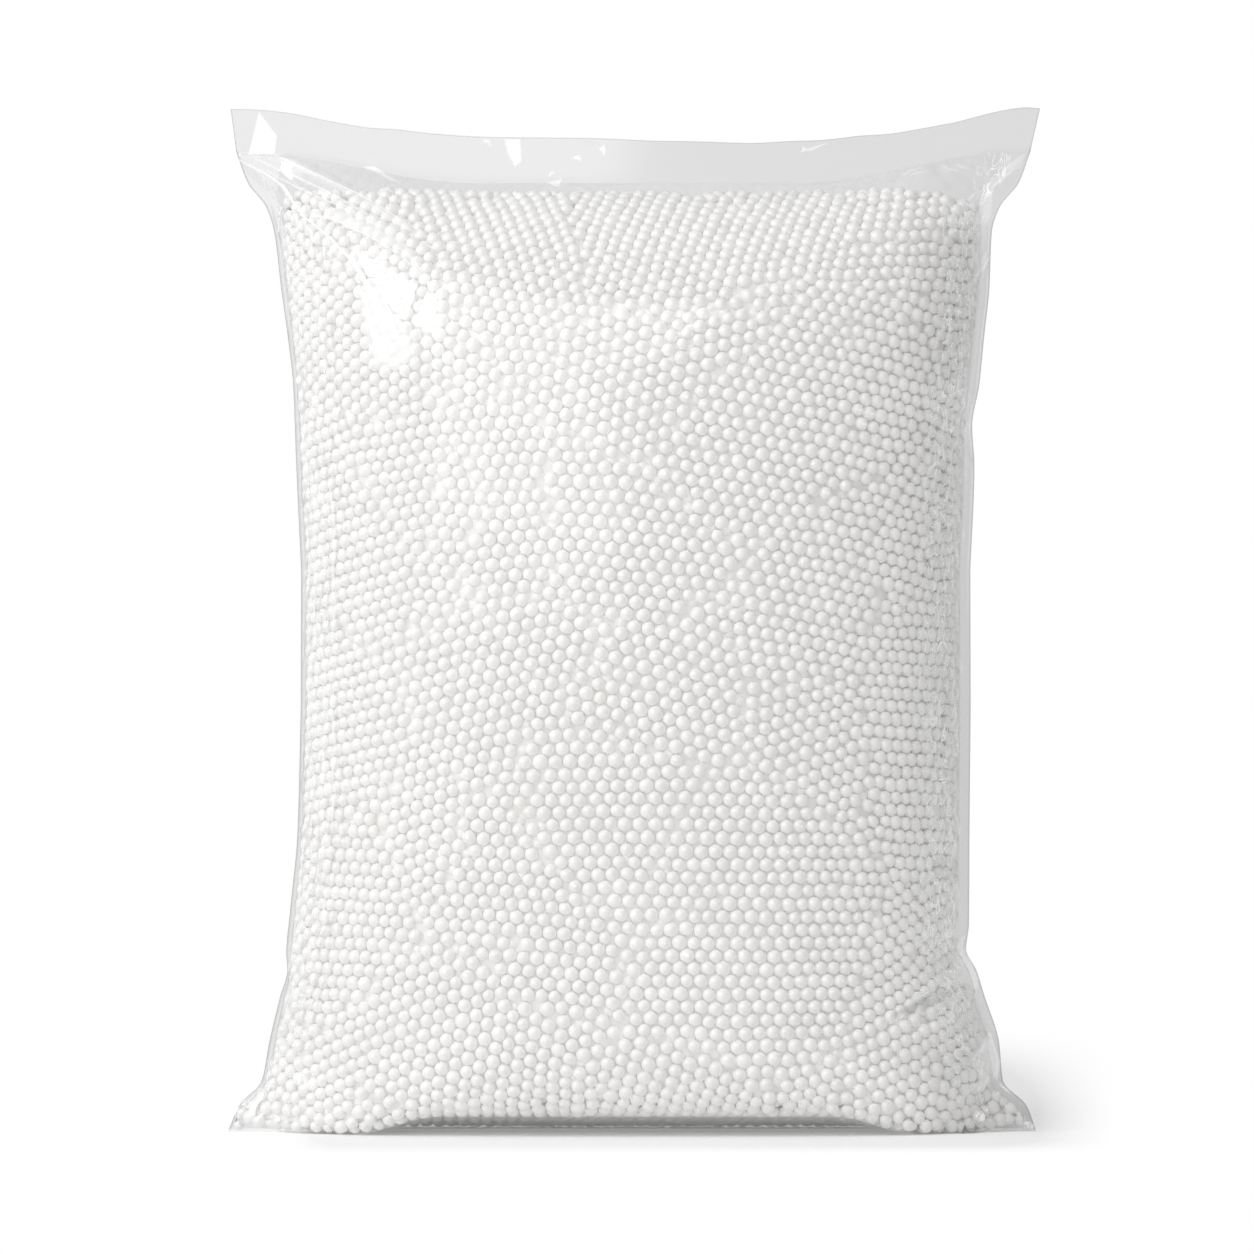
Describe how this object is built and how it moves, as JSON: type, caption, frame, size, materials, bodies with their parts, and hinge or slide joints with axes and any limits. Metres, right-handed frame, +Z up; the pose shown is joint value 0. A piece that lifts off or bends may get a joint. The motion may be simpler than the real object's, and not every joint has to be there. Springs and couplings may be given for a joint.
{
  "type": "bag of polystyrene beads",
  "caption": "Clear film pillow bag filled with loose expanded polystyrene beads, welded across its foot and top and standing upright, for cushioning and filling.",
  "frame": {"origin": "middle of the part's outer box, on the floor that the bag stands on", "axes": "+Z up the standing bag, +X to the right along the welds as seen from the front, -Y towards the front"},
  "size_m": [0.29, 0.12, 0.3642],
  "materials": {
    "clear_film": "glossy clear polyethylene film",
    "white_beads": "satin white expanded polystyrene"
  },
  "bodies": {
    "root": {"film_bag": "clear_film", "bead_fill": "white_beads"}
  },
  "joints": []
}
